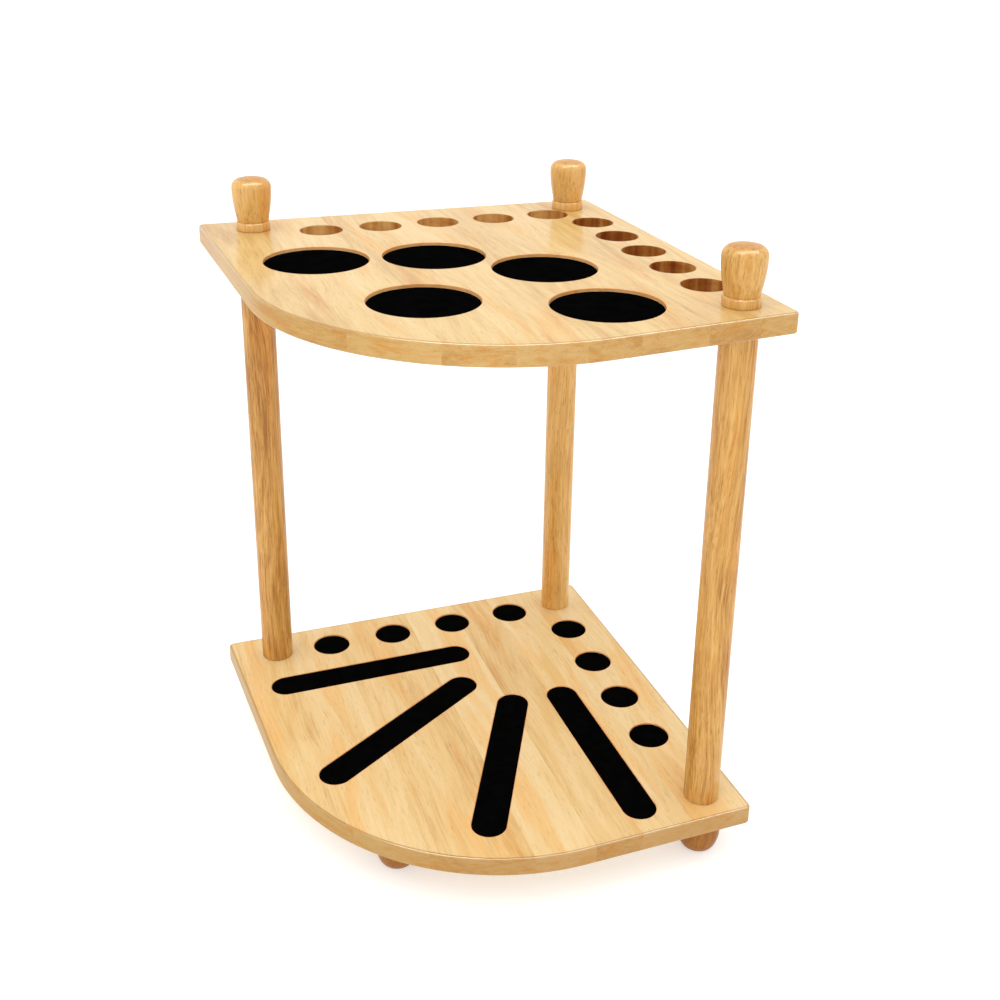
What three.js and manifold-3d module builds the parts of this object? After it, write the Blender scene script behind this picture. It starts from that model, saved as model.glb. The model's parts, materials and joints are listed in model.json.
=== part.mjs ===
// A wooden floor rack for a room corner. Two boards with straight edges against the two walls and
// one big rounded corner towards the room are held apart by three round posts. The upper board has
// two rows of through holes along the walls and five round lined pockets. The lower board has a
// lined seat for each rod standing in the rack and four lined slots that fan out from the corner.
// Turned finials clamp the upper board to the posts and bun feet clamp the lower one.
//
// Millimetres, +Z up. The rack is laid out from its wall corner, where the two wall edges of the
// boards meet: the left arm runs towards -X and the right arm towards -Y.

import * as THREE from 'three';
import { mergeVertices } from 'three/addons/utils/BufferGeometryUtils.js';
import Module from 'manifold-3d';

const wasm = await Module();
wasm.setup();

// ---- Driving dimensions -------------------------------------------------------------------

const LEFT_ARM = 410;
const RIGHT_ARM = 427;
const BOARD = 18;
const FOOT_HEIGHT = 37;
const POST_LENGTH = 455;
const FINIAL_HEIGHT = 51;

// The rounded corner of each board: the arc's centre, measured out from the wall corner along
// both arms, and its radius. Straight end edges run from the arms' ends to touch the arc.
const UPPER_CORNER = { x: -182.5, y: -224, radius: 217 };
const LOWER_CORNER = { x: -164, y: -193.5, radius: 234.5 };

const POST_RADIUS = 16;
const WALL_INSET = 36;
const LEFT_END_INSET = 48;
const RIGHT_END_INSET = 31;
const LEFT_POST = [-LEFT_ARM + LEFT_END_INSET, -WALL_INSET];
const BACK_POST = [-WALL_INSET, -WALL_INSET];
const RIGHT_POST = [-WALL_INSET, -RIGHT_ARM + RIGHT_END_INSET];
const FRONT_FOOT = [-307, -325];

// Rod holes in the upper board and rod seats in the lower one, in a row along each arm. A row
// starts at "first" from the wall corner and keeps "inset" from its wall edge.
const HOLE_RADIUS = 20;
const LEFT_HOLES = { first: 67, pitch: 58.5, inset: 58, count: 5 };
const RIGHT_HOLES = { first: 103, pitch: 58.3, inset: 36.3, count: 5 };
const SEAT_RADIUS = 19.5;
const LEFT_SEATS = { first: 93.7, pitch: 69.7, inset: 38, count: 4 };
const RIGHT_SEATS = { first: 93, pitch: 69, inset: 42.3, count: 4 };

// Five pockets in the upper board: four curve round the fifth, which sits by the rounded corner.
const POCKET_RADIUS = 46.5;
const POCKETS = [[-328, -164], [-224.5, -178.5], [-144.5, -246], [-137.5, -363], [-272.5, -308.5]];

// Four slots in the lower board, on lines that meet near the back post. "reach" is from that
// meeting point to the slot's middle.
const FAN_CENTRE = [-98, -100];
const SLOT_WIDTH = 32;
const SLOT_LENGTH = 216;
const SLOTS = [
  { degrees: 180, reach: 174 },
  { degrees: 212.2, reach: 202.5 },
  { degrees: 243.2, reach: 211 },
  { degrees: 270, reach: 201.5 },
];

// Felt lining, and how far its face lies below the board's.
const FELT = 1.7;
const POCKET_SINK = 2.8;
const SEAT_SINK = 1.3;
const SLOT_SINK = 0.5;

// Hardware: threaded studs turn into brass inserts pressed into the wood.
const STUD_RADIUS = 4;
const STUD_HOLE_RADIUS = 4.6;
const INSERT_RADIUS = 6;
const INSERT_BORE_RADIUS = 4.4;
const POST_INSERT_LENGTH = 18;
const BOARD_INSERT_LENGTH = 11;
const STUD_IN_POST = 22;
const STUD_IN_TURNING = 24;
const CLEARANCE = 0.3;
const BORE_SPARE = 3;

const ROUND_SEGMENTS = 32;
const TURNED_SEGMENTS = 24;
const HARDWARE_SEGMENTS = 16;
const POCKET_SEGMENTS = 48;

// Heights of the faces, from the floor up.
const LOWER_FACE = FOOT_HEIGHT + BOARD;
const UPPER_UNDERSIDE = LOWER_FACE + POST_LENGTH;
const UPPER_FACE = UPPER_UNDERSIDE + BOARD;

// ---- Materials ----------------------------------------------------------------------------

const materials = {
  board: new THREE.MeshStandardMaterial({ color: 0xe6bd80, roughness: 0.32, metalness: 0 }),
  turned: new THREE.MeshStandardMaterial({ color: 0xd79a4e, roughness: 0.3, metalness: 0 }),
  foot: new THREE.MeshStandardMaterial({ color: 0x9a5a30, roughness: 0.35, metalness: 0 }),
  felt: new THREE.MeshStandardMaterial({ color: 0x0b0b0c, roughness: 0.95, metalness: 0 }),
  steel: new THREE.MeshStandardMaterial({ color: 0xb9bcc0, roughness: 0.35, metalness: 1 }),
  brass: new THREE.MeshStandardMaterial({ color: 0xc9a24a, roughness: 0.35, metalness: 1 }),
};

// ---- Solids -------------------------------------------------------------------------------

function toSolid(geometry) {
  const bare = geometry.clone();
  bare.deleteAttribute('normal');
  bare.deleteAttribute('uv');
  const merged = mergeVertices(bare);
  const mesh = new wasm.Mesh({
    numProp: 3,
    vertProperties: new Float32Array(merged.attributes.position.array),
    triVerts: new Uint32Array(merged.index.array),
  });
  return new wasm.Manifold(mesh);
}

function toGeometry(solid) {
  const mesh = solid.getMesh();
  const geometry = new THREE.BufferGeometry();
  geometry.setAttribute('position', new THREE.BufferAttribute(mesh.vertProperties, 3));
  geometry.setIndex(new THREE.BufferAttribute(mesh.triVerts, 1));
  geometry.computeVertexNormals();
  return geometry;
}

// A body turned about the Z axis. The profile's points are [radius, height] and run from the
// axis at the bottom, round the outside, to the axis at the top.
function turned(profile, segments = TURNED_SEGMENTS) {
  const points = profile.map(([radius, height]) => new THREE.Vector2(radius, height));
  return new THREE.LatheGeometry(points, segments).rotateX(Math.PI / 2);
}

function rod(radius, bottom, top, segments = ROUND_SEGMENTS) {
  return turned([[0, bottom], [radius, bottom], [radius, top], [0, top]], segments);
}

function tube(outer, inner, bottom, top) {
  const section = [[inner, bottom], [outer, bottom], [outer, top], [inner, top], [inner, bottom]];
  return turned(section, HARDWARE_SEGMENTS);
}

// Evenly spaced shares of the way along a curve, from 0 to 1.
function shares(steps) {
  return Array.from({ length: steps + 1 }, (_, i) => i / steps);
}

// Points on an arc in a profile, from its widest point up and in by "degrees".
function profileArc(radius, height, size, degrees, steps) {
  return shares(steps).map((t) => {
    const angle = THREE.MathUtils.degToRad(degrees * t);
    return [radius + size * Math.cos(angle), height + size * Math.sin(angle)];
  });
}

// ---- Boards -------------------------------------------------------------------------------

// Angle at which the straight edge from a point touches the rounded corner's circle.
function touchAngle([x, y], corner, side) {
  const dx = x - corner.x;
  const dy = y - corner.y;
  return Math.atan2(dy, dx) + side * Math.acos(corner.radius / Math.hypot(dx, dy));
}

function boardOutline(corner) {
  const leftEnd = [-LEFT_ARM, 0];
  const rightEnd = [0, -RIGHT_ARM];
  const outline = new THREE.Shape();
  outline.moveTo(0, 0);
  outline.lineTo(...leftEnd);
  const start = touchAngle(leftEnd, corner, 1);
  const end = touchAngle(rightEnd, corner, -1);
  outline.absarc(corner.x, corner.y, corner.radius, start, end, false);
  outline.lineTo(...rightEnd);
  outline.closePath();
  return outline;
}

function roundHole([x, y], radius) {
  const hole = new THREE.Path();
  hole.absarc(x, y, radius, 0, 2 * Math.PI, true);
  return hole;
}

// A board with its top face at z = 0, cut through by the holes and less deep by the sunk solids.
function board(corner, holes, sunk) {
  const outline = boardOutline(corner);
  outline.holes = holes;
  const slab = new THREE.ExtrudeGeometry(outline, {
    depth: BOARD,
    bevelEnabled: false,
    curveSegments: ROUND_SEGMENTS / 2,
  });
  slab.translate(0, 0, -BOARD);
  return toGeometry(sunk.reduce((solid, cutter) => solid.subtract(toSolid(cutter)), toSolid(slab)));
}

function leftRow({ first, pitch, inset, count }) {
  return Array.from({ length: count }, (_, i) => [-first - pitch * i, -inset]);
}

function rightRow({ first, pitch, inset, count }) {
  return Array.from({ length: count }, (_, i) => [-inset, -first - pitch * i]);
}

// A disc or cutter with its floor at "bottom" and its top at "top".
function disc([x, y], radius, bottom, top, segments = ROUND_SEGMENTS) {
  return rod(radius, bottom, top, segments).translate(x, y, 0);
}

// A slot-shaped slab with round ends, lying on its line of the fan.
function slotSlab({ degrees, reach }, width, bottom, top) {
  const radius = width / 2;
  const half = (SLOT_LENGTH - SLOT_WIDTH) / 2;
  const outline = new THREE.Shape();
  outline.absarc(half, 0, radius, -Math.PI / 2, Math.PI / 2, false);
  outline.absarc(-half, 0, radius, Math.PI / 2, (3 * Math.PI) / 2, false);
  outline.closePath();
  const slab = new THREE.ExtrudeGeometry(outline, {
    depth: top - bottom,
    bevelEnabled: false,
    curveSegments: ROUND_SEGMENTS / 4,
  });
  const angle = THREE.MathUtils.degToRad(degrees);
  slab.translate(reach, 0, bottom);
  slab.rotateZ(angle);
  slab.translate(FAN_CENTRE[0], FAN_CENTRE[1], 0);
  return slab;
}

// Cutters run on past the face they start from, so that they leave it clean.
const CUT_PAST = 2;

function upperBoard() {
  const rodHoles = [...leftRow(LEFT_HOLES), ...rightRow(RIGHT_HOLES)];
  const studHoles = [LEFT_POST, BACK_POST, RIGHT_POST];
  const holes = [
    ...rodHoles.map((centre) => roundHole(centre, HOLE_RADIUS)),
    ...studHoles.map((centre) => roundHole(centre, STUD_HOLE_RADIUS)),
  ];
  const floor = -POCKET_SINK - FELT;
  const pockets = POCKETS.map((centre) => disc(centre, POCKET_RADIUS, floor, CUT_PAST, POCKET_SEGMENTS));
  return board(UPPER_CORNER, holes, pockets);
}

function lowerBoard() {
  const holes = [LEFT_POST, BACK_POST, RIGHT_POST].map((centre) => roundHole(centre, STUD_HOLE_RADIUS));
  const seats = [...leftRow(LEFT_SEATS), ...rightRow(RIGHT_SEATS)];
  const insertBore = BOARD_INSERT_LENGTH + CLEARANCE;
  const sunk = [
    ...seats.map((centre) => disc(centre, SEAT_RADIUS, -SEAT_SINK - FELT, CUT_PAST)),
    ...SLOTS.map((slot) => slotSlab(slot, SLOT_WIDTH, -SLOT_SINK - FELT, CUT_PAST)),
    disc(FRONT_FOOT, INSERT_RADIUS + CLEARANCE, -BOARD - CUT_PAST, -BOARD + insertBore),
  ];
  return board(LOWER_CORNER, holes, sunk);
}

// ---- Turned pieces ------------------------------------------------------------------------

// A post from z = 0 up, bored at both ends for its inserts.
function post() {
  const bore = INSERT_RADIUS + CLEARANCE;
  const depth = STUD_IN_POST + BORE_SPARE;
  return turned([
    [0, depth],
    [bore, depth],
    [bore, 0],
    [POST_RADIUS, 0],
    [POST_RADIUS, POST_LENGTH],
    [bore, POST_LENGTH],
    [bore, POST_LENGTH - depth],
    [0, POST_LENGTH - depth],
  ]);
}

// A finial standing on z = 0: a collar as wide as the post, a groove, a long flare and a domed
// head with a round shoulder. It is bored from below for its stud.
const COLLAR_HEIGHT = 9;
const COLLAR_EDGE = 1.6;
const NECK_RADIUS = 15.2;
const NECK_HEIGHT = 10.5;
const HEAD_RADIUS = 18.7;
const HEAD_HEIGHT = 40;
const SHOULDER = 8.5;
const SHOULDER_HEIGHT = HEAD_HEIGHT + 1;
const SHOULDER_DEGREES = 78;

function finialFlare(t) {
  const swell = Math.sin((t * Math.PI) / 2);
  return [NECK_RADIUS + (HEAD_RADIUS - NECK_RADIUS) * swell, NECK_HEIGHT + (HEAD_HEIGHT - NECK_HEIGHT) * t];
}

// The dome's point at a share of the way from the shoulder's inner end to the axis.
function dome([radius, height], t) {
  const rise = FINIAL_HEIGHT - height;
  return [radius * (1 - t), height + rise * (1 - (1 - t) ** 2)];
}

function finial() {
  const bore = STUD_RADIUS + CLEARANCE;
  const depth = STUD_IN_TURNING + BORE_SPARE;
  const shoulder = profileArc(HEAD_RADIUS - SHOULDER, SHOULDER_HEIGHT, SHOULDER, SHOULDER_DEGREES, 6);
  return turned([
    [0, depth],
    [bore, depth],
    [bore, 0],
    [POST_RADIUS, 0],
    ...profileArc(POST_RADIUS - COLLAR_EDGE, COLLAR_HEIGHT - COLLAR_EDGE, COLLAR_EDGE, 90, 3),
    ...shares(5).map(finialFlare),
    ...shoulder,
    ...shares(3).slice(1).map((t) => dome(shoulder.at(-1), t)),
  ]);
}

// A bun foot hanging from z = 0 down to a flat base, bored from above for its stud.
const FOOT_TOP_RADIUS = 16;
const FOOT_RADIUS = 20;
const FOOT_BASE_RADIUS = 11;
const FOOT_WIDEST = -0.42 * FOOT_HEIGHT;

// The foot's side from the base (0) to the top (1): two quarter ellipses that meet at the
// widest ring.
function footSide(t) {
  const angle = Math.PI * (t - 0.5);
  const below = angle < 0;
  const end = below ? FOOT_BASE_RADIUS : FOOT_TOP_RADIUS;
  const span = below ? FOOT_HEIGHT + FOOT_WIDEST : -FOOT_WIDEST;
  return [end + (FOOT_RADIUS - end) * Math.cos(angle), FOOT_WIDEST + span * Math.sin(angle)];
}

function foot() {
  const bore = STUD_RADIUS + CLEARANCE;
  const depth = STUD_IN_TURNING + BORE_SPARE;
  return turned([
    [0, -FOOT_HEIGHT],
    ...shares(8).map(footSide),
    [bore, 0],
    [bore, -depth],
    [0, -depth],
  ]);
}

// ---- Assembly -----------------------------------------------------------------------------

// The wall corner's place puts the whole rack's box, whose front is the upper board's round
// corner, centred over the origin.
const rack = new THREE.Group();
const frontReach = UPPER_CORNER.radius - UPPER_CORNER.y;
rack.position.set(LEFT_ARM / 2, frontReach / 2, 0);

function place(name, geometry, material, [x, y] = [0, 0], z = 0) {
  const mesh = new THREE.Mesh(geometry, materials[material]);
  mesh.name = name;
  mesh.position.set(x, y, z);
  rack.add(mesh);
}

place('lower_board', lowerBoard(), 'board', [0, 0], LOWER_FACE);
place('upper_board', upperBoard(), 'board', [0, 0], UPPER_FACE);

const posts = { left: LEFT_POST, back: BACK_POST, right: RIGHT_POST };
for (const [side, at] of Object.entries(posts)) {
  place(`${side}_post`, post(), 'turned', at, LOWER_FACE);
  place(`${side}_finial`, finial(), 'turned', at, UPPER_FACE);
  place(`${side}_foot`, foot(), 'foot', at, FOOT_HEIGHT);

  const insert = tube(INSERT_RADIUS, INSERT_BORE_RADIUS, 0, POST_INSERT_LENGTH);
  place(`${side}_upper_insert`, insert, 'brass', at, UPPER_UNDERSIDE - POST_INSERT_LENGTH);
  place(`${side}_lower_insert`, insert.clone(), 'brass', at, LOWER_FACE);

  const stud = rod(STUD_RADIUS, 0, STUD_IN_TURNING + BOARD + STUD_IN_POST, HARDWARE_SEGMENTS);
  place(`${side}_upper_stud`, stud, 'steel', at, UPPER_UNDERSIDE - STUD_IN_POST);
  place(`${side}_lower_stud`, stud.clone(), 'steel', at, FOOT_HEIGHT - STUD_IN_TURNING);
}

place('front_foot', foot(), 'foot', FRONT_FOOT, FOOT_HEIGHT);
const boardInsert = tube(INSERT_RADIUS, INSERT_BORE_RADIUS, 0, BOARD_INSERT_LENGTH);
place('front_insert', boardInsert, 'brass', FRONT_FOOT, FOOT_HEIGHT);
const frontStud = rod(STUD_RADIUS, -STUD_IN_TURNING, BOARD_INSERT_LENGTH, HARDWARE_SEGMENTS);
place('front_stud', frontStud, 'steel', FRONT_FOOT, FOOT_HEIGHT);

POCKETS.forEach((centre, i) => {
  const felt = rod(POCKET_RADIUS - CLEARANCE, 0, FELT, POCKET_SEGMENTS);
  place(`pocket_felt_${i + 1}`, felt, 'felt', centre, UPPER_FACE - POCKET_SINK - FELT);
});

const seatRows = { left: leftRow(LEFT_SEATS), right: rightRow(RIGHT_SEATS) };
for (const [side, centres] of Object.entries(seatRows)) {
  centres.forEach((centre, i) => {
    const felt = rod(SEAT_RADIUS - CLEARANCE, 0, FELT);
    place(`${side}_seat_felt_${i + 1}`, felt, 'felt', centre, LOWER_FACE - SEAT_SINK - FELT);
  });
}

SLOTS.forEach((slot, i) => {
  const felt = slotSlab(slot, SLOT_WIDTH - 2 * CLEARANCE, 0, FELT);
  place(`slot_felt_${i + 1}`, felt, 'felt', [0, 0], LOWER_FACE - SLOT_SINK - FELT);
});

export default rack;
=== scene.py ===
# Looks of a wooden corner floor rack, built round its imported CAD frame. Metres, +Z up, with +X and +Y
# towards the two walls of the room corner.

import json
import math

import bmesh
import bpy
from mathutils import Euler, Matrix, Vector, noise


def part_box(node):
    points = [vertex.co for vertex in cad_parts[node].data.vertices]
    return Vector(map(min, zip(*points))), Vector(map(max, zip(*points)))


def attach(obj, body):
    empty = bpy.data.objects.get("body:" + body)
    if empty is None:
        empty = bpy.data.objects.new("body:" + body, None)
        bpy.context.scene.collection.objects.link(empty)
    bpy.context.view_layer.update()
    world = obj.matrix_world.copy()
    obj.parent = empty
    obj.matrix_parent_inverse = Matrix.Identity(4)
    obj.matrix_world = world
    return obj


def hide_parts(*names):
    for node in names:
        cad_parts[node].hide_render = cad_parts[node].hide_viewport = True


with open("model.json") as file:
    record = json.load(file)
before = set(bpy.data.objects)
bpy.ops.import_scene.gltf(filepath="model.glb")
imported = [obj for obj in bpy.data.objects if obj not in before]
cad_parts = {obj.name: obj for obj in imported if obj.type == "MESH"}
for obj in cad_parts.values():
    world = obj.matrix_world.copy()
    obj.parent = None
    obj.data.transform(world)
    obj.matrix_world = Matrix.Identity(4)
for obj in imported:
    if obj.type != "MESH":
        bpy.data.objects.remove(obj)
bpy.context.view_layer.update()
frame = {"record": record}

# ---- Sizes the CAD model also has, in metres -------------------------------------------------

RIGHT_ARM = 0.427

# The rounded corner of each board: its centre measured out from the wall corner, and its radius.
UPPER_CORNER = {"x": -0.1825, "y": -0.224, "radius": 0.217}
LOWER_CORNER = {"x": -0.164, "y": -0.1935, "radius": 0.2345}

ROD_HOLE_RADIUS = 0.020
STUD_HOLE_RADIUS = 0.0046
POCKET_RADIUS = 0.0465
SEAT_RADIUS = 0.0195
SLOT_RADIUS = 0.016
INSERT_HOLE_RADIUS = 0.0063
INSERT_HOLE_DEPTH = 0.0113
FELT_GAP = 0.0003

# ---- Sizes of the finer shaping --------------------------------------------------------------

EDGE_ROUND = 0.0020
HOLE_ROUND = 0.0005
CORNER_ROUND = 0.0055

# A narrow strip of flat face beside each rounding, which keeps the smooth shading on the rounding.
GUARD = 0.0006

# How many straight steps each kind of curve is made of.
ARC_STEPS = 72
FILLET_STEPS = 6
ROUND_STEPS = 5
POCKET_STEPS = 96
HOLE_STEPS = 64
SMALL_HOLE_STEPS = 32
TURNED_STEPS = 72
END_STEPS = 4
SHARP_ANGLE = 35


# ---- Frame places ----------------------------------------------------------------------------

def node_centre(node):
    low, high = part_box(node)
    return (low + high) / 2


def opening_centre(name):
    """The middle of one of the record's openings, seen from above."""
    openings = {o["name"]: o["box_m"] for o in frame["record"]["physics"]["openings"]}
    low, high = openings[name]
    return Vector(((low[0] + high[0]) / 2, (low[1] + high[1]) / 2))


# ---- Contours --------------------------------------------------------------------------------
# A contour is a closed line seen from above, as a list of arcs (centre, radius, from, to, steps)
# with straight lines between them. Moving it in or out only changes the arcs' radii.

def direction(angle):
    return Vector((math.cos(angle), math.sin(angle)))


def contour_points(contour, inset=0.0):
    points = []
    for centre, radius, start, end, steps in contour:
        closed = abs(end - start) >= 2 * math.pi - 1e-6
        for i in range(steps if closed else steps + 1):
            angle = start + (end - start) * i / steps
            points.append(centre + direction(angle) * (radius - inset))
    return points


def circle(centre, radius, steps=HOLE_STEPS):
    return [(Vector(centre[:2]), radius, 0.0, 2 * math.pi, steps)]


def capsule(middle, angle, length, radius):
    """A slot's outline: two half circles, one at each end of its middle line."""
    reach = direction(angle) * (length / 2 - radius)
    half = math.pi / 2
    steps = HOLE_STEPS // 2
    return [
        (middle + reach, radius, angle - half, angle + half, steps),
        (middle - reach, radius, angle + half, angle + 3 * half, steps),
    ]


def corner_fillet(corner, before, after):
    """The small arc that rounds a corner between two straight edges, given their outward angles."""
    sum_of_normals = direction(before) + direction(after)
    inward = sum_of_normals / (1 + direction(before).dot(direction(after)))
    return (corner - inward * CORNER_ROUND, CORNER_ROUND, before, after, FILLET_STEPS)


def touch_angle(point, centre, radius, side):
    """The angle on a circle where the straight edge from a point outside touches it."""
    away = point - centre
    return math.atan2(away.y, away.x) + side * math.acos(radius / away.length)


def board_outline(corner):
    low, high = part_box("upper_board")
    wall_corner = Vector((high.x, high.y))
    left_end = Vector((low.x, high.y))
    right_end = wall_corner - Vector((0, RIGHT_ARM))
    centre = wall_corner + Vector((corner["x"], corner["y"]))
    radius = corner["radius"]
    start = touch_angle(left_end, centre, radius, 1)
    end = touch_angle(right_end, centre, radius, -1) + 2 * math.pi
    return [
        corner_fillet(wall_corner, 0.0, math.pi / 2),
        corner_fillet(left_end, math.pi / 2, start),
        (centre, radius, start, end, ARC_STEPS),
        corner_fillet(right_end, end, 2 * math.pi),
    ]


# ---- Meshes ----------------------------------------------------------------------------------

def add_ring(bm, points, z):
    return [bm.verts.new((p.x, p.y, z)) for p in points]


def bridge(bm, first, second):
    for i in range(len(first)):
        j = (i + 1) % len(first)
        bm.faces.new((first[i], first[j], second[j], second[i]))


def sweep(bm, contour, profile, outward=False):
    """Skins a contour with a profile of (inset, z) steps, and returns its rings."""
    sign = -1 if outward else 1
    rings = [add_ring(bm, contour_points(contour, sign * inset), z) for inset, z in profile]
    for first, second in zip(rings, rings[1:]):
        bridge(bm, first, second)
    return rings


def fill_between(bm, rings):
    """Fills a flat face between an outer ring and the rings of the holes in it."""
    edges = [bm.edges.get((r[i - 1], r[i])) for r in rings for i in range(len(r))]
    bmesh.ops.triangle_fill(bm, edges=edges, use_beauty=True)


def rounded_top(z, size):
    """Steps over a rounded edge from a flat face at height z, down to the wall under it."""
    steps = [(size + GUARD, z)]
    for i in range(ROUND_STEPS + 1):
        angle = math.pi / 2 * i / ROUND_STEPS
        steps.append((size * (1 - math.sin(angle)), z - size * (1 - math.cos(angle))))
    steps.append((0.0, z - size - GUARD))
    return steps


def rounded_bottom(z, size):
    """The same over the edge of a flat face that looks down."""
    return [(inset, 2 * z - height) for inset, height in reversed(rounded_top(z, size))]


def finish_mesh(name, bm, material, replaces, body="root"):
    """Turns a bmesh into a smooth-shaded piece that rides on the frame in its nodes' place."""
    bmesh.ops.recalc_face_normals(bm, faces=bm.faces)
    mesh = bpy.data.meshes.new(name)
    bm.to_mesh(mesh)
    bm.free()
    mesh.shade_smooth()
    mesh.set_sharp_from_angle(angle=math.radians(SHARP_ANGLE))
    mesh.materials.append(material)
    piece = bpy.data.objects.new(name, mesh)
    bpy.context.scene.collection.objects.link(piece)
    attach(piece, body)
    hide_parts(*replaces)
    return piece


def mark_walls(bm, attribute, rings, amounts):
    """Writes an attribute on upright walls, with an amount along the grain and one across it."""
    layer = bm.verts.layers.float[attribute]
    side_grain, end_grain = amounts
    centre = sum((v.co for v in rings[0]), Vector()) / len(rings[0])
    for ring in rings[1:-1]:
        for v in ring:
            across = (v.co - centre).xy.normalized().y ** 2
            v[layer] = side_grain + (end_grain - side_grain) * across


def build_board(name, node, outline, rim_darkness, through, sunk, sunk_below, material):
    """A board with rounded edges. Each through hole comes with how dark its wall is, and each
    recess, sunk from above or from below, with its depth."""
    low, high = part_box(node)
    top, bottom = high.z, low.z
    bm = bmesh.new()
    for attribute in ("rim", "bore", "recess"):
        bm.verts.layers.float.new(attribute)
    through_profile = rounded_top(top, HOLE_ROUND) + rounded_bottom(bottom, HOLE_ROUND)
    rim = sweep(bm, outline, rounded_top(top, EDGE_ROUND) + rounded_bottom(bottom, EDGE_ROUND))
    mark_walls(bm, "rim", rim, rim_darkness)
    tops, bottoms = [rim[0]], [rim[-1]]
    for contour, darkness in through:
        rings = sweep(bm, contour, through_profile, True)
        mark_walls(bm, "bore", rings, darkness)
        tops.append(rings[0])
        bottoms.append(rings[-1])
    for contour, depth in sunk:
        rings = sweep(bm, contour, rounded_top(top, HOLE_ROUND) + [(0.0, top - depth)], True)
        mark_walls(bm, "recess", rings, RECESS_DARKNESS)
        tops.append(rings[0])
        bm.faces.new(rings[-1])
    for contour, depth in sunk_below:
        rings = sweep(bm, contour, [(0.0, bottom + depth)] + rounded_bottom(bottom, HOLE_ROUND), True)
        bottoms.append(rings[-1])
        bm.faces.new(rings[0])
    fill_between(bm, tops)
    fill_between(bm, bottoms)
    return finish_mesh(name, bm, material, replaces=[node])


def lathe(bm, profile, centre, steps=TURNED_STEPS):
    """Turns a profile of (radius, z) about a vertical axis. A radius of 0 closes the body there."""
    rings = []
    for radius, z in profile:
        if radius == 0:
            rings.append([bm.verts.new((centre.x, centre.y, z))])
        else:
            rings.append(add_ring(bm, contour_points(circle(centre, radius, steps)), z))
    for first, second in zip(rings, rings[1:]):
        if len(first) == 1 or len(second) == 1:
            tip = (first if len(first) == 1 else second)[0]
            ring = second if len(first) == 1 else first
            for i in range(steps):
                bm.faces.new((ring[i - 1], ring[i], tip))
        else:
            bridge(bm, first, second)


# ---- Materials -------------------------------------------------------------------------------

class Nodes:
    """A short way to write a material's nodes: values and sockets go in alike."""

    def __init__(self, name):
        self.material = bpy.data.materials.new(name)
        self.material.use_nodes = True
        self.tree = self.material.node_tree
        self.tree.nodes.clear()

    def add(self, kind, inputs, output=0, **settings):
        node = self.tree.nodes.new(kind)
        for key, value in settings.items():
            setattr(node, key, value)
        for key, value in inputs.items():
            if isinstance(value, bpy.types.NodeSocket):
                self.tree.links.new(value, node.inputs[key])
            else:
                node.inputs[key].default_value = value
        return node.outputs[output]

    def math(self, operation, a, b=0.0, clamp=False):
        return self.add("ShaderNodeMath", {0: a, 1: b}, operation=operation, use_clamp=clamp)

    def scaled(self, vector, factors):
        return self.add("ShaderNodeVectorMath", {0: vector, 1: factors}, operation="MULTIPLY")

    def added(self, a, b):
        return self.add("ShaderNodeVectorMath", {0: a, 1: b}, operation="ADD")

    def noise(self, vector, scale, detail=2.0, roughness=0.5):
        inputs = {"Vector": vector, "Scale": scale, "Detail": detail, "Roughness": roughness}
        return self.add("ShaderNodeTexNoise", inputs)

    def remap(self, value, low, high, to_low=0.0, to_high=1.0, smooth=True):
        inputs = {0: value, 1: low, 2: high, 3: to_low, 4: to_high}
        kind = "SMOOTHSTEP" if smooth else "LINEAR"
        return self.add("ShaderNodeMapRange", inputs, interpolation_type=kind)

    def blend(self, factor, a, b, mode="MIX"):
        inputs = {0: factor, 6: a, 7: b}
        return self.add("ShaderNodeMix", inputs, output=2, data_type="RGBA", blend_type=mode)

    def position(self):
        return self.add("ShaderNodeTexCoord", {}, output="Object")

    def split(self, vector):
        node = self.tree.nodes.new("ShaderNodeSeparateXYZ")
        self.tree.links.new(vector, node.inputs[0])
        return node.outputs

    def join(self, x, y, z):
        return self.add("ShaderNodeCombineXYZ", {0: x, 1: y, 2: z})

    def surface(self, **inputs):
        """The one shader of the material. Input names are given with _ for a space."""
        named = {key.replace("_", " "): value for key, value in inputs.items()}
        shader = self.add("ShaderNodeBsdfPrincipled", named)
        output = self.tree.nodes.new("ShaderNodeOutputMaterial")
        self.tree.links.new(shader, output.inputs["Surface"])
        return self.material


# Kinds of wood, each from its lightest colour to its darkest, and the colour of its pores.
BOARD_WOOD = {
    "light": (0.755, 0.560, 0.270, 1),
    "middle": (0.700, 0.475, 0.190, 1),
    "dark": (0.540, 0.300, 0.088, 1),
    "pore": (0.300, 0.140, 0.032, 1),
}
TURNED_WOOD = {
    "light": (0.680, 0.405, 0.135, 1),
    "middle": (0.540, 0.285, 0.074, 1),
    "dark": (0.330, 0.135, 0.028, 1),
    "pore": (0.160, 0.055, 0.012, 1),
}
# The feet's wood is darker than the posts': painted shade from the board above them.
SHADED_FOOT_WOOD = {
    "light": (0.380, 0.164, 0.033, 1),
    "middle": (0.305, 0.116, 0.019, 1),
    "dark": (0.200, 0.062, 0.012, 1),
    "pore": (0.100, 0.030, 0.008, 1),
}

# Tints that multiply a wood's colour: reddish patches; painted shade on the boards' rims along the
# grain and across it, where end grain darkens them too; the tops of turned pieces, darker as end
# grain and with painted shade; painted shade on the walls of holes; and the walls of recesses.
BLUSH_TINT = (1.0, 0.87, 0.70, 1)
SIDE_WALL_SHADE = (0.72, 0.65, 0.54, 1)
END_GRAIN_AND_SHADE = (0.71, 0.62, 0.55, 1)
TURNED_END_GRAIN_AND_SHADE = (0.84, 0.72, 0.58, 1)
BORE_PAINTED_SHADE = (0.22, 0.075, 0.022, 1)
RECESS_TINT = (1.10, 0.81, 0.70, 1)

# How each board's level faces differ in colour from the board wood.
UPPER_FACE_TINT = (0.94, 0.95, 0.97, 1)
LOWER_FACE_TINT = (0.99, 1.01, 1.11, 1)
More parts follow.
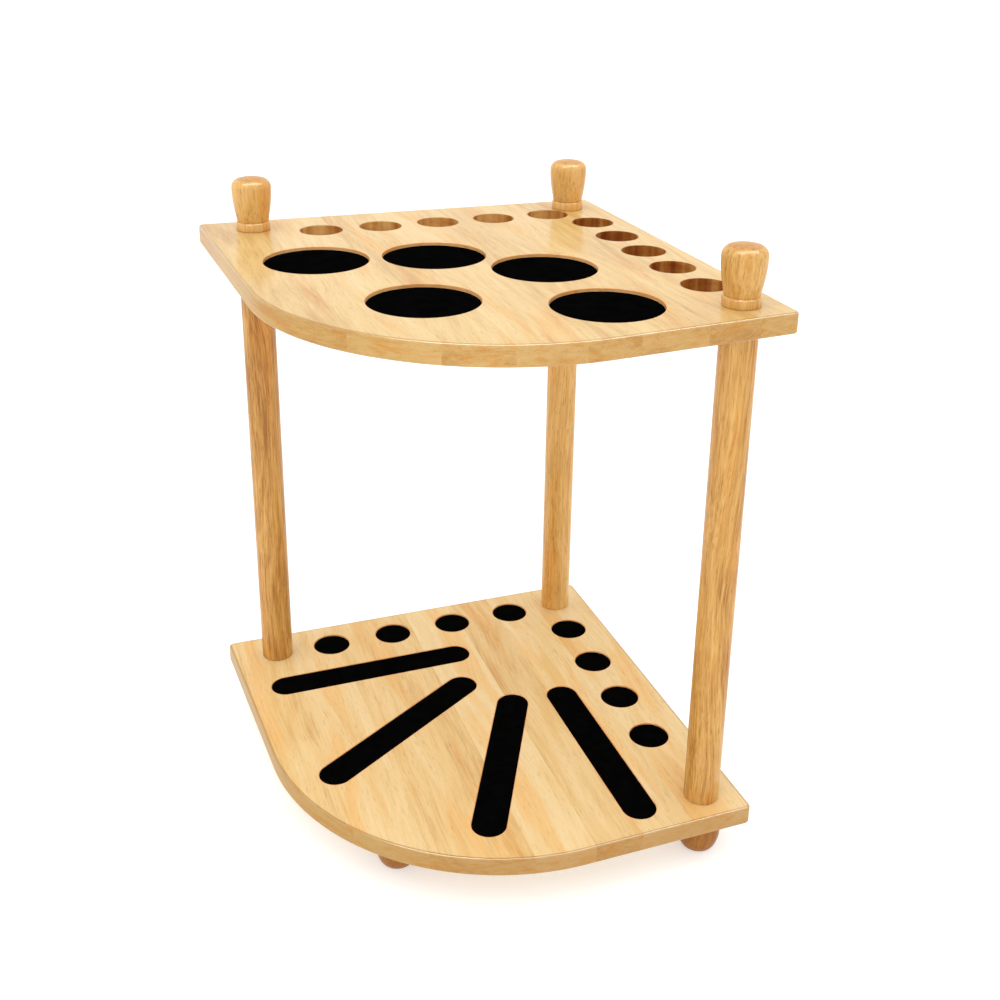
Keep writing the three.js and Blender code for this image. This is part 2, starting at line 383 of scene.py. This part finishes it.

# How much of its tint an upright wall has, where it runs along the grain and where it cuts across
# it. The tint is painted shade, with end grain's own darker colour on the rims. The two rows of rod
# holes get different amounts of painted shade, the left row less, which paints it as lit.
UPPER_RIM_DARKNESS = (1.00, 0.72)
LOWER_RIM_DARKNESS = (1.35, 1.35)
LEFT_HOLE_DARKNESS = (0.50, 0.24)
RIGHT_HOLE_DARKNESS = (0.57, 0.80)
STUD_HOLE_DARKNESS = (1.0, 1.0)
RECESS_DARKNESS = (1.0, 1.0)

WHITE = (1, 1, 1, 1)

# How far the grain sways from straight, and how closely the growth rings follow one another.
GRAIN_SWAY = 0.035
RING_RATE = 85.0

# The tone of a wood with no figure, from 0 for its darkest colour to 1 for its lightest.
PLAIN_TONE = 0.55


def wood_layers(n, place):
    """The layers of a piece of wood at a place (across, depth, along the grain). Each is a noise
    that is much finer across the grain than along it."""
    bend = n.noise(n.scaled(place, (9, 9, 4.5)), 1.0)
    sway = n.math("MULTIPLY", n.math("SUBTRACT", bend, 0.5), GRAIN_SWAY)
    place = n.added(place, n.join(sway, 0.0, 0.0))
    drift = n.noise(n.scaled(place, (17, 17, 2.1)), 1.0, 1.0)
    bands = n.math("SINE", n.math("MULTIPLY", drift, RING_RATE))
    return {
        "figure": n.remap(bands, -1.0, 1.0, smooth=False),
        "patch": n.noise(n.scaled(place, (24, 24, 4.5)), 1.0, 2.0),
        "streak": n.noise(n.scaled(place, (105, 105, 7.5)), 1.0, 3.0, 0.6),
        "line": n.noise(n.scaled(place, (430, 430, 20)), 1.0, 3.0, 0.6),
        "fibre": n.noise(n.scaled(place, (1700, 1700, 55)), 1.0),
        "pore": n.remap(n.noise(n.scaled(place, (1000, 1000, 80)), 1.0), 0.60, 0.70),
        "blush": n.remap(n.noise(n.scaled(place, (48, 48, 6.0)), 1.0, 2.0), 0.50, 0.68),
    }


def wood_colour(n, layers, wood, shade, weights, pores):
    """Blends the layers into a colour. Shade moves the whole piece's tone, and the weights say how
    much each layer moves it from there."""
    tone = n.math("ADD", PLAIN_TONE, shade)
    for name, weight in weights.items():
        centred = n.math("SUBTRACT", layers[name], 0.5)
        tone = n.math("ADD", tone, n.math("MULTIPLY", centred, weight))
    dark_half = n.blend(n.remap(tone, 0.0, 0.5, smooth=False), wood["dark"], wood["middle"])
    colour = n.blend(n.remap(tone, 0.5, 1.0, smooth=False), dark_half, wood["light"])
    blush = n.blend(layers["blush"], WHITE, BLUSH_TINT)
    colour = n.blend(1.0, colour, blush, "MULTIPLY")
    return n.blend(n.math("MULTIPLY", layers["pore"], pores), colour, wood["pore"])


def lacquered(n, colour, layers, roughness, gloss):
    """A clear lacquer over wood whose pores and fibres still show a little."""
    relief = n.math("SUBTRACT", n.math("MULTIPLY", layers["fibre"], 0.4), layers["pore"])
    bump = n.add("ShaderNodeBump", {"Strength": 0.12, "Distance": 0.0002, "Height": relief})
    return n.surface(
        Base_Color=colour,
        Roughness=n.remap(layers["streak"], 0.2, 0.8, roughness - 0.04, roughness + 0.05),
        Specular_IOR_Level=0.06,
        Normal=bump,
        Coat_Weight=gloss,
        Coat_Roughness=0.10,
    )


# How much closer the growth rings lie through a board's thickness than across its face, how much
# the pores show, and how rough the wood is under its lacquer.
RING_SQUEEZE = 3.0
BOARD_PORES = 0.30
BOARD_ROUGHNESS = 0.34

# How glossy the lacquer is on upright walls, on level faces, and on the rounded edges between them.
WALL_GLOSS = 0.05
FACE_GLOSS = 0.30
EDGE_GLOSS = 3.0

# Half the width of the joint over which one stave's tone passes into the next one's, and how far
# apart two staves can have grown: across the grain, through the board and along the grain.
STAVE_JOINT = 0.0004
STAVE_SPREAD = (0.4, 0.02, 7.0)

# The least and the most painted shade on a hole's wall, in soft upright bands, the lighter ones
# painted highlights.
BORE_SHADE_RANGE = (0.60, 1.30)


def stave_material(name, staves, seed, face_tint):
    """Edge-glued staves along Y, as (left edge, tone) pairs. Each has its own figure too. The
    boards' rim, bore and recess attributes say how much of their tints the walls have."""
    n = Nodes(name)
    x, y, z = n.split(n.position())
    index = seed
    shade = staves[0][1]
    for (left, tone), (_, tone_before) in zip(staves[1:], staves):
        past = n.remap(x, left - STAVE_JOINT, left + STAVE_JOINT)
        index = n.math("ADD", index, n.math("GREATER_THAN", x, left))
        shade = n.math("ADD", shade, n.math("MULTIPLY", past, tone - tone_before))
    chance = n.tree.nodes.new("ShaderNodeTexWhiteNoise")
    chance.noise_dimensions = "1D"
    n.tree.links.new(index, chance.inputs["W"])
    offset = n.scaled(chance.outputs["Color"], STAVE_SPREAD)
    grain_place = n.join(x, n.math("MULTIPLY", z, RING_SQUEEZE), y)
    layers = wood_layers(n, n.added(grain_place, offset))
    weights = {"figure": 0.12, "patch": 0.9, "streak": 0.8, "line": 0.8, "fibre": 0.4}
    colour = wood_colour(n, layers, BOARD_WOOD, shade, weights, BOARD_PORES)
    normal = n.split(n.add("ShaderNodeNewGeometry", {}, output="Normal"))
    end_grain = n.math("MULTIPLY", normal[1], normal[1])
    level = n.math("MULTIPLY", normal[2], normal[2])
    colour = n.blend(1.0, colour, n.blend(level, WHITE, face_tint), "MULTIPLY")
    rim = n.add("ShaderNodeAttribute", {}, output="Fac", attribute_name="rim")
    bore = n.add("ShaderNodeAttribute", {}, output="Fac", attribute_name="bore")
    recess = n.add("ShaderNodeAttribute", {}, output="Fac", attribute_name="recess")
    # Painted shade in the holes, in upright bands that leave lighter painted highlights.
    bands = n.noise(n.scaled(n.join(x, y, z), (110, 110, 8)), 1.0)
    bore_shading = n.math("MULTIPLY", bore, n.remap(bands, 0.35, 0.65, *BORE_SHADE_RANGE, smooth=False))
    painted_bore_shade = n.add("ShaderNodeGamma", {"Color": BORE_PAINTED_SHADE, "Gamma": bore_shading})
    # Painted shade on the boards' rims, added to end grain's own darker colour where a wall cuts across
    # the grain.
    wall_shade_and_grain = n.blend(end_grain, SIDE_WALL_SHADE, END_GRAIN_AND_SHADE)
    rim_shade_and_grain = n.add("ShaderNodeGamma", {"Color": wall_shade_and_grain, "Gamma": rim})
    recess_tint = n.blend(recess, WHITE, RECESS_TINT)
    colour = n.blend(1.0, colour, n.blend(1.0, painted_bore_shade, rim_shade_and_grain, "MULTIPLY"), "MULTIPLY")
    colour = n.blend(1.0, colour, recess_tint, "MULTIPLY")
    halfway = n.math("MULTIPLY", level, n.math("SUBTRACT", 1.0, level))
    edge_gloss = n.math("MULTIPLY", halfway, EDGE_GLOSS)
    gloss = n.math("ADD", n.remap(level, 0.2, 0.9, WALL_GLOSS, FACE_GLOSS), edge_gloss)
    gloss = n.math("MULTIPLY", gloss, n.math("SUBTRACT", 1.0, bore, clamp=True))
    return lacquered(n, colour, layers, BOARD_ROUGHNESS, gloss)


# How far apart pieces with neighbouring seeds are cut, across the grain and along it.
SEED_STEP_ACROSS = 0.31
SEED_STEP_ALONG = 1.7

TURNED_PORES = 0.42
TURNED_ROUGHNESS = 0.36
TURNED_GLOSS = 0.35
FOOT_GLOSS = 0.20


def turned_material(name, wood, centre, seed, shade=0.0, gloss=TURNED_GLOSS):
    """Solid wood with its grain up the piece, which is turned about the line through centre."""
    n = Nodes(name)
    x, y, z = n.split(n.position())
    across = n.math("SUBTRACT", x, centre.x + seed * SEED_STEP_ACROSS)
    depth = n.math("SUBTRACT", y, centre.y)
    along = n.math("ADD", z, seed * SEED_STEP_ALONG)
    layers = wood_layers(n, n.join(across, depth, along))
    weights = {"figure": 0.12, "patch": 0.6, "streak": 0.8, "line": 1.5, "fibre": 1.0}
    colour = wood_colour(n, layers, wood, shade, weights, TURNED_PORES)
    # The tops are darker: end grain's own colour, with painted shade against the light from above.
    upward = n.split(n.add("ShaderNodeNewGeometry", {}, output="Normal"))[2]
    top_grain_and_shade = n.blend(n.remap(upward, 0.80, 0.98), WHITE, TURNED_END_GRAIN_AND_SHADE)
    colour = n.blend(1.0, colour, top_grain_and_shade, "MULTIPLY")
    return lacquered(n, colour, layers, TURNED_ROUGHNESS, gloss)


# Felt where its nap lies one way, and where it has been brushed the other way.
FELT_BLACK = (0.0010, 0.0010, 0.0010, 1)
FELT_BRUSHED = (0.0018, 0.0018, 0.0018, 1)


def felt_material():
    n = Nodes("black_felt")
    place = n.position()
    fuzz = n.noise(place, 2600.0, 3.0, 0.6)
    nap = n.noise(place, 90.0, 2.0)
    colour = n.blend(n.remap(nap, 0.3, 0.7), FELT_BLACK, FELT_BRUSHED)
    bump = n.add("ShaderNodeBump", {"Strength": 0.5, "Distance": 0.0003, "Height": fuzz})
    return n.surface(
        Base_Color=colour,
        Roughness=n.remap(fuzz, 0.3, 0.7, 0.9, 1.0),
        Normal=bump,
        Specular_IOR_Level=0.0,
    )


def metal_material(name, bright, dull, roughness):
    n = Nodes(name)
    place = n.position()
    cloud = n.noise(place, 160.0, 3.0, 0.6)
    scratch = n.noise(n.scaled(place, (900, 900, 4000)), 1.0)
    colour = n.blend(n.remap(cloud, 0.35, 0.7), bright, dull)
    bump = n.add("ShaderNodeBump", {"Strength": 0.2, "Distance": 0.00005, "Height": scratch})
    return n.surface(
        Base_Color=colour,
        Metallic=1.0,
        Roughness=n.remap(scratch, 0.3, 0.7, roughness - 0.06, roughness + 0.08),
        Normal=bump,
    )


def floor_material():
    n = Nodes("pale_floor")
    cloud = n.noise(n.position(), 3.0)
    colour = n.blend(cloud, (0.63, 0.63, 0.63, 1), (0.65, 0.65, 0.65, 1))
    return n.surface(
        Base_Color=colour,
        Roughness=0.9,
        Specular_IOR_Level=0.2,
        Emission_Color=WHITE,
        Emission_Strength=0.45,
    )


# The boards' staves, as their left edges along X and how much lighter or darker each one is.
UPPER_STAVES = [
    (-0.205, -0.15), (-0.143, 0.00), (-0.085, -0.14), (-0.035, -0.04), (0.018, -0.20),
    (0.062, -0.13), (0.121, -0.22), (0.168, -0.10),
]
LOWER_STAVES = [
    (-0.205, 0.00), (-0.145, 0.15), (-0.090, -0.04), (-0.005, 0.26),
    (0.050, -0.06), (0.095, 0.12), (0.145, 0.20),
]

# How much lighter than the middle tone each post is, and the finials.
POST_SHADES = {"left": -0.20, "back": 0.28, "right": -0.06}
FINIAL_SHADE = 0.28

# Every piece of wood has its own seed: these are the boards' and the first post's, finial's and
# foot's.
UPPER_BOARD_SEED = 3.0
LOWER_BOARD_SEED = 11.0
POST_SEED = 1
FINIAL_SEED = 5
FOOT_SEED = 9

felt = felt_material()
steel = metal_material("zinc_steel", (0.72, 0.73, 0.75, 1), (0.52, 0.53, 0.55, 1), 0.32)
brass = metal_material("brass", (0.80, 0.62, 0.28, 1), (0.62, 0.44, 0.17, 1), 0.30)


# ---- Boards ----------------------------------------------------------------------------------

SIDES = ("left", "back", "right")
SEAT_NODES = [f"{side}_seat_felt_{i}" for side in ("left", "right") for i in range(1, 5)]
POCKET_NODES = [f"pocket_felt_{i}" for i in range(1, 6)]
SLOT_NODES = [f"slot_felt_{i}" for i in range(1, 5)]

# Which way each slot runs from its inner end, counted from +X. They spread like a fan.
SLOT_ANGLES = [math.radians(a) for a in (180, 212.2, 243.2, 270)]
SLOT_LENGTH = 0.216


def recess_depth(board, felt_node):
    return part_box(board)[1].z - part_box(felt_node)[0].z


def slot_contour(i, gap):
    middle = node_centre(SLOT_NODES[i])
    length = SLOT_LENGTH - 2 * gap
    return capsule(Vector((middle.x, middle.y)), SLOT_ANGLES[i], length, SLOT_RADIUS - gap)


def stud_holes(level):
    centres = [node_centre(f"{side}_{level}_stud") for side in SIDES]
    outlines = [circle(centre, STUD_HOLE_RADIUS, SMALL_HOLE_STEPS) for centre in centres]
    return [(outline, STUD_HOLE_DARKNESS) for outline in outlines]


def upper_board():
    rows = {"left": LEFT_HOLE_DARKNESS, "right": RIGHT_HOLE_DARKNESS}
    holes = [
        (circle(opening_centre(f"{side}_rod_hole_{i}"), ROD_HOLE_RADIUS), darkness)
        for side, darkness in rows.items() for i in range(1, 6)
    ]
    depth = recess_depth("upper_board", POCKET_NODES[0])
    pockets = [(circle(node_centre(p), POCKET_RADIUS, POCKET_STEPS), depth) for p in POCKET_NODES]
    wood = stave_material("upper_board_wood", UPPER_STAVES, UPPER_BOARD_SEED, UPPER_FACE_TINT)
    return build_board(
        "upper_board_panel", "upper_board", board_outline(UPPER_CORNER), UPPER_RIM_DARKNESS,
        through=holes + stud_holes("upper"), sunk=pockets, sunk_below=[], material=wood,
    )


def lower_board():
    seat_depth = recess_depth("lower_board", SEAT_NODES[0])
    slot_depth = recess_depth("lower_board", SLOT_NODES[0])
    seats = [(circle(node_centre(s), SEAT_RADIUS), seat_depth) for s in SEAT_NODES]
    slots = [(slot_contour(i, 0.0), slot_depth) for i in range(len(SLOT_NODES))]
    insert = circle(node_centre("front_insert"), INSERT_HOLE_RADIUS, SMALL_HOLE_STEPS)
    wood = stave_material("lower_board_wood", LOWER_STAVES, LOWER_BOARD_SEED, LOWER_FACE_TINT)
    return build_board(
        "lower_board_panel", "lower_board", board_outline(LOWER_CORNER), LOWER_RIM_DARKNESS,
        through=stud_holes("lower"), sunk=seats + slots,
        sunk_below=[(insert, INSERT_HOLE_DEPTH)], material=wood,
    )


# ---- Turned pieces ---------------------------------------------------------------------------

POST_BORE = 0.0063
POST_BORE_DEPTH = 0.025
TURNING_BORE = 0.0043
TURNING_BORE_DEPTH = 0.027
END_ROUND = 0.0010

# A finial's heights are measured from its base. Its collar ends in part of a rounding, given by
# the slopes where the rounding starts and ends, in degrees from the outward direction.
COLLAR_RADIUS = 0.016
COLLAR_HEIGHT = 0.0085
COLLAR_EDGE = 0.0036
COLLAR_EDGE_START = 30
COLLAR_EDGE_END = 65
COLLAR_EDGE_STEPS = 6
NECK_RADIUS = 0.0148
NECK_HEIGHT = 0.0090
HEAD_RADIUS = 0.0187
HEAD_HEIGHT = 0.040
FLARE_STEPS = 12
SHOULDER = 0.0085
SHOULDER_HEIGHT = 0.041
SHOULDER_DEGREES = 78
SHOULDER_STEPS = 14
CROWN_STEPS = 8

# A foot's widest ring is this share of its height below its top.
FOOT_WIDEST = 0.42
FOOT_TOP_RADIUS = 0.016
FOOT_RADIUS = 0.020
FOOT_BASE_RADIUS = 0.011
FOOT_STEPS = 32


def shares(steps):
    return [i / steps for i in range(steps + 1)]


def arc_profile(radius, z, size, start, end, steps):
    """Points on an arc in a profile, with angles in degrees from the outward direction."""
    turned = [math.radians(start + (end - start) * t) for t in shares(steps)]
    return [(radius + size * math.cos(a), z + size * math.sin(a)) for a in turned]


def post(side):
    node = f"{side}_post"
    low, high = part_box(node)
    radius = (high.x - low.x) / 2
    inner = radius - END_ROUND
    profile = [
        (0, low.z + POST_BORE_DEPTH),
        (POST_BORE, low.z + POST_BORE_DEPTH),
        (POST_BORE, low.z),
        *arc_profile(inner, low.z + END_ROUND, END_ROUND, -90, 0, END_STEPS),
        (radius, low.z + END_ROUND + GUARD),
        (radius, high.z - END_ROUND - GUARD),
        *arc_profile(inner, high.z - END_ROUND, END_ROUND, 0, 90, END_STEPS),
        (POST_BORE, high.z),
        (POST_BORE, high.z - POST_BORE_DEPTH),
        (0, high.z - POST_BORE_DEPTH),
    ]
    bm = bmesh.new()
    centre = node_centre(node)
    lathe(bm, profile, centre)
    seed = POST_SEED + SIDES.index(side)
    wood = turned_material(f"{node}_wood", TURNED_WOOD, centre, seed, POST_SHADES[side])
    return finish_mesh(f"{node}_dowel", bm, wood, replaces=[node])


def flare(t):
    """A point on the outward curve from a finial's neck up to its head."""
    swell = math.sin(t * math.pi / 2)
    radius = NECK_RADIUS + (HEAD_RADIUS - NECK_RADIUS) * swell
    return (radius, NECK_HEIGHT + (HEAD_HEIGHT - NECK_HEIGHT) * t)


def finial_profile(base, height):
    """A collar, a groove, a long flare and a domed head with a round shoulder."""
    collar_inset = COLLAR_EDGE * math.cos(math.radians(COLLAR_EDGE_START))
    collar_drop = COLLAR_EDGE * math.sin(math.radians(COLLAR_EDGE_END))
    edge_centre = (COLLAR_RADIUS - collar_inset, COLLAR_HEIGHT - collar_drop)
    shoulder_centre = (HEAD_RADIUS - SHOULDER, SHOULDER_HEIGHT)
    profile = [
        (0, TURNING_BORE_DEPTH),
        (TURNING_BORE, TURNING_BORE_DEPTH),
        (TURNING_BORE, 0),
        *arc_profile(COLLAR_RADIUS - END_ROUND, END_ROUND, END_ROUND, -90, 0, END_STEPS),
        *arc_profile(*edge_centre, COLLAR_EDGE, COLLAR_EDGE_START, COLLAR_EDGE_END, COLLAR_EDGE_STEPS),
        *[flare(t) for t in shares(FLARE_STEPS)],
        *arc_profile(*shoulder_centre, SHOULDER, 0, SHOULDER_DEGREES, SHOULDER_STEPS),
    ]
    edge_radius, edge_height = profile[-1]
    for t in shares(CROWN_STEPS)[1:]:
        rise = (height - edge_height) * (1 - (1 - t) ** 2)
        profile.append((edge_radius * (1 - t), edge_height + rise))
    return [(r, base + z) for r, z in profile]


def finial(side):
    node = f"{side}_finial"
    low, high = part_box(node)
    bm = bmesh.new()
    centre = node_centre(node)
    lathe(bm, finial_profile(low.z, high.z - low.z), centre)
    seed = FINIAL_SEED + SIDES.index(side)
    wood = turned_material(f"{node}_wood", TURNED_WOOD, centre, seed, FINIAL_SHADE)
    return finish_mesh(f"{node}_turning", bm, wood, replaces=[node])


def foot(side):
    """A bun foot: two quarter ellipses that meet at the widest ring, on a flat base."""
    node = f"{side}_foot"
    low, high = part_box(node)
    height = high.z - low.z
    widest = high.z - FOOT_WIDEST * height
    profile = [(0, low.z)]
    for t in shares(FOOT_STEPS):
        angle = math.pi * (t - 0.5)
        end = FOOT_BASE_RADIUS if angle < 0 else FOOT_TOP_RADIUS
        span = (1 - FOOT_WIDEST if angle < 0 else FOOT_WIDEST) * height
        bulge = (FOOT_RADIUS - end) * math.cos(angle)
        profile.append((end + bulge, widest + span * math.sin(angle)))
    profile += [
        (TURNING_BORE, high.z),
        (TURNING_BORE, high.z - TURNING_BORE_DEPTH),
        (0, high.z - TURNING_BORE_DEPTH),
    ]
    bm = bmesh.new()
    centre = node_centre(node)
    lathe(bm, profile, centre)
    seed = FOOT_SEED + (*SIDES, "front").index(side)
    wood = turned_material(f"{node}_wood", SHADED_FOOT_WOOD, centre, seed, gloss=FOOT_GLOSS)
    return finish_mesh(f"{node}_bun", bm, wood, replaces=[node])


# ---- Felt linings ----------------------------------------------------------------------------

FELT_EDGE = 0.0005
FELT_RELIEF = 0.00004
FELT_RELIEF_RATE = 300

# Where the face of a lining has rings of its own, as shares of the way in from its edge.
FELT_RINGS = (0.2, 0.4, 0.6, 0.8, 0.97)


def felt_lining(node, contour, radius):
    """A cut piece of felt: soft upper edge, and a face that isn't quite even."""
    low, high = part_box(node)
    rounded = rounded_top(high.z, FELT_EDGE)[::-1]
    profile = [(0.0, low.z)] + rounded
    profile += [(FELT_EDGE + (radius - FELT_EDGE) * t, high.z) for t in FELT_RINGS]
    bm = bmesh.new()
    rings = sweep(bm, contour, profile)
    bm.faces.new(rings[0])
    bm.faces.new(rings[-1])
    for v in bm.verts:
        if v.co.z > high.z - FELT_EDGE * 0.1:
            v.co.z += FELT_RELIEF * (noise.noise(v.co * FELT_RELIEF_RATE) - 1)
    return finish_mesh(f"{node}_lining", bm, felt, replaces=[node])


def round_lining(node, radius):
    inner = radius - FELT_GAP
    piece = felt_lining(node, circle(node_centre(node), inner), inner)


def slot_lining(i):
    inner = SLOT_RADIUS - FELT_GAP
    piece = felt_lining(SLOT_NODES[i], slot_contour(i, FELT_GAP), inner)


# ---- Hardware --------------------------------------------------------------------------------

THREAD_PITCH = 0.00125
THREAD_DEPTH = 0.00068
THREAD_STEPS = 18
THREAD_LEVELS = 4
INSERT_BORE = 0.0044
INSERT_STEPS = 32
BARB_DEPTH = 0.0005
BARB_PITCH = 0.0025

# Where a barb is widest and where it has fallen back again, as shares of the barbs' pitch.
BARB_TIP = 0.35
BARB_BACK = 0.36


def threaded_stud(node):
    """A rod with a real screw thread: its radius follows the thread's ridge round and up."""
    low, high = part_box(node)
    centre = node_centre(node)
    radius = (high.x - low.x) / 2
    levels = int((high.z - low.z) / THREAD_PITCH * THREAD_LEVELS)
    bm = bmesh.new()
    rings = []
    for level in range(levels + 1):
        z = low.z + (high.z - low.z) * level / levels
        fade = min(1.0, min(z - low.z, high.z - z) / THREAD_PITCH)
        ring = []
        for i in range(THREAD_STEPS):
            turn = i / THREAD_STEPS
            ridge = abs(((z / THREAD_PITCH - turn) % 1.0) * 2 - 1) * fade
            reach = radius - THREAD_DEPTH * (1 - ridge)
            spot = Vector(centre[:2]) + direction(turn * 2 * math.pi) * reach
            ring.append(bm.verts.new((spot.x, spot.y, z)))
        rings.append(ring)
    for first, second in zip(rings, rings[1:]):
        bridge(bm, first, second)
    bm.faces.new(rings[0])
    bm.faces.new(rings[-1])
    finish_mesh(f"{node}_thread", bm, steel, replaces=[node])


def barbed_insert(node):
    """A tube with rings of barbs that grip the wood."""
    low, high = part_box(node)
    outer = (high.x - low.x) / 2
    body = outer - BARB_DEPTH
    profile = [(INSERT_BORE, low.z), (body, low.z)]
    barbs = int((high.z - low.z) / BARB_PITCH)
    for i in range(barbs):
        z = low.z + (i + 0.5) * BARB_PITCH
        profile += [
            (body, z),
            (outer, z + BARB_PITCH * BARB_TIP),
            (body, z + BARB_PITCH * BARB_BACK),
        ]
    profile += [(body, high.z), (INSERT_BORE, high.z), (INSERT_BORE, low.z)]
    bm = bmesh.new()
    lathe(bm, profile, node_centre(node), INSERT_STEPS)
    bmesh.ops.remove_doubles(bm, verts=bm.verts, dist=1e-6)
    finish_mesh(f"{node}_sleeve", bm, brass, replaces=[node])


# ---- Assembly --------------------------------------------------------------------------------

upper_board()
lower_board()
for side in SIDES:
    post(side)
    finial(side)
    foot(side)
    for level in ("upper", "lower"):
        threaded_stud(f"{side}_{level}_stud")
        barbed_insert(f"{side}_{level}_insert")
foot("front")
threaded_stud("front_stud")
barbed_insert("front_insert")
for node in POCKET_NODES:
    round_lining(node, POCKET_RADIUS)
for node in SEAT_NODES:
    round_lining(node, SEAT_RADIUS)
for i in range(len(SLOT_NODES)):
    slot_lining(i)


# ---- Floor, light and camera -----------------------------------------------------------------

FLOOR_REACH = 30.0
STUDIO_BRIGHTNESS = 1.2

# Directions towards the lights, from the rack. The strips are only seen as highlights.
OVERHEAD = (-0.30, -0.20, 0.93)
STRIPS = [(tilt, -0.22, 1.0) for tilt in (-0.45, 0.05, 0.55)]


def build_floor():
    bm = bmesh.new()
    bmesh.ops.create_grid(bm, x_segments=1, y_segments=1, size=FLOOR_REACH)
    mesh = bpy.data.meshes.new("floor")
    bm.to_mesh(mesh)
    bm.free()
    mesh.materials.append(floor_material())
    floor = bpy.data.objects.new("floor", mesh)
    bpy.context.scene.collection.objects.link(floor)


def softbox(name, towards, spread, strength, only_highlights=False):
    """A distant light as wide as a studio's softbox, spread over an angle in degrees."""
    data = bpy.data.lights.new(name, "SUN")
    data.angle = math.radians(spread)
    data.energy = strength
    lamp = bpy.data.objects.new(name, data)
    lamp.visible_diffuse = not only_highlights
    lamp.rotation_mode = "QUATERNION"
    lamp.rotation_quaternion = Vector(towards).to_track_quat("Z", "Y")
    bpy.context.scene.collection.objects.link(lamp)


def build_world():
    world = bpy.data.worlds.new("studio")
    world.use_nodes = True
    background = world.node_tree.nodes["Background"]
    background.inputs["Color"].default_value = WHITE
    background.inputs["Strength"].default_value = STUDIO_BRIGHTNESS
    bpy.context.scene.world = world


# Where the camera stands in metres, how it is turned in degrees, and its lens in millimetres.
CAMERA_PLACE = (-0.3348, -1.0037, 0.8184)
CAMERA_HEADING = 20.69
CAMERA_PITCH = 20.33
CAMERA_ROLL = 1.00
CAMERA_LENS = 45.06
CAMERA_SHIFT = (-0.015, -0.125)


def build_camera():
    data = bpy.data.cameras.new("camera")
    data.sensor_width = 36
    data.lens = CAMERA_LENS
    data.shift_x, data.shift_y = CAMERA_SHIFT
    camera = bpy.data.objects.new("camera", data)
    aim = Euler((math.radians(90 - CAMERA_PITCH), 0, math.radians(-CAMERA_HEADING))).to_matrix()
    roll = Matrix.Rotation(math.radians(CAMERA_ROLL), 3, "Z")
    camera.rotation_mode = "QUATERNION"
    camera.rotation_quaternion = (aim @ roll).to_quaternion()
    camera.location = CAMERA_PLACE
    bpy.context.scene.collection.objects.link(camera)
    bpy.context.scene.camera = camera


build_floor()
build_world()
softbox("overhead_softbox", OVERHEAD, spread=60, strength=0.8)
for i, towards in enumerate(STRIPS):
    softbox(f"ceiling_strip_{i}", towards, spread=30, strength=2.5, only_highlights=True)
build_camera()
bpy.context.scene.view_settings.view_transform = "Standard"
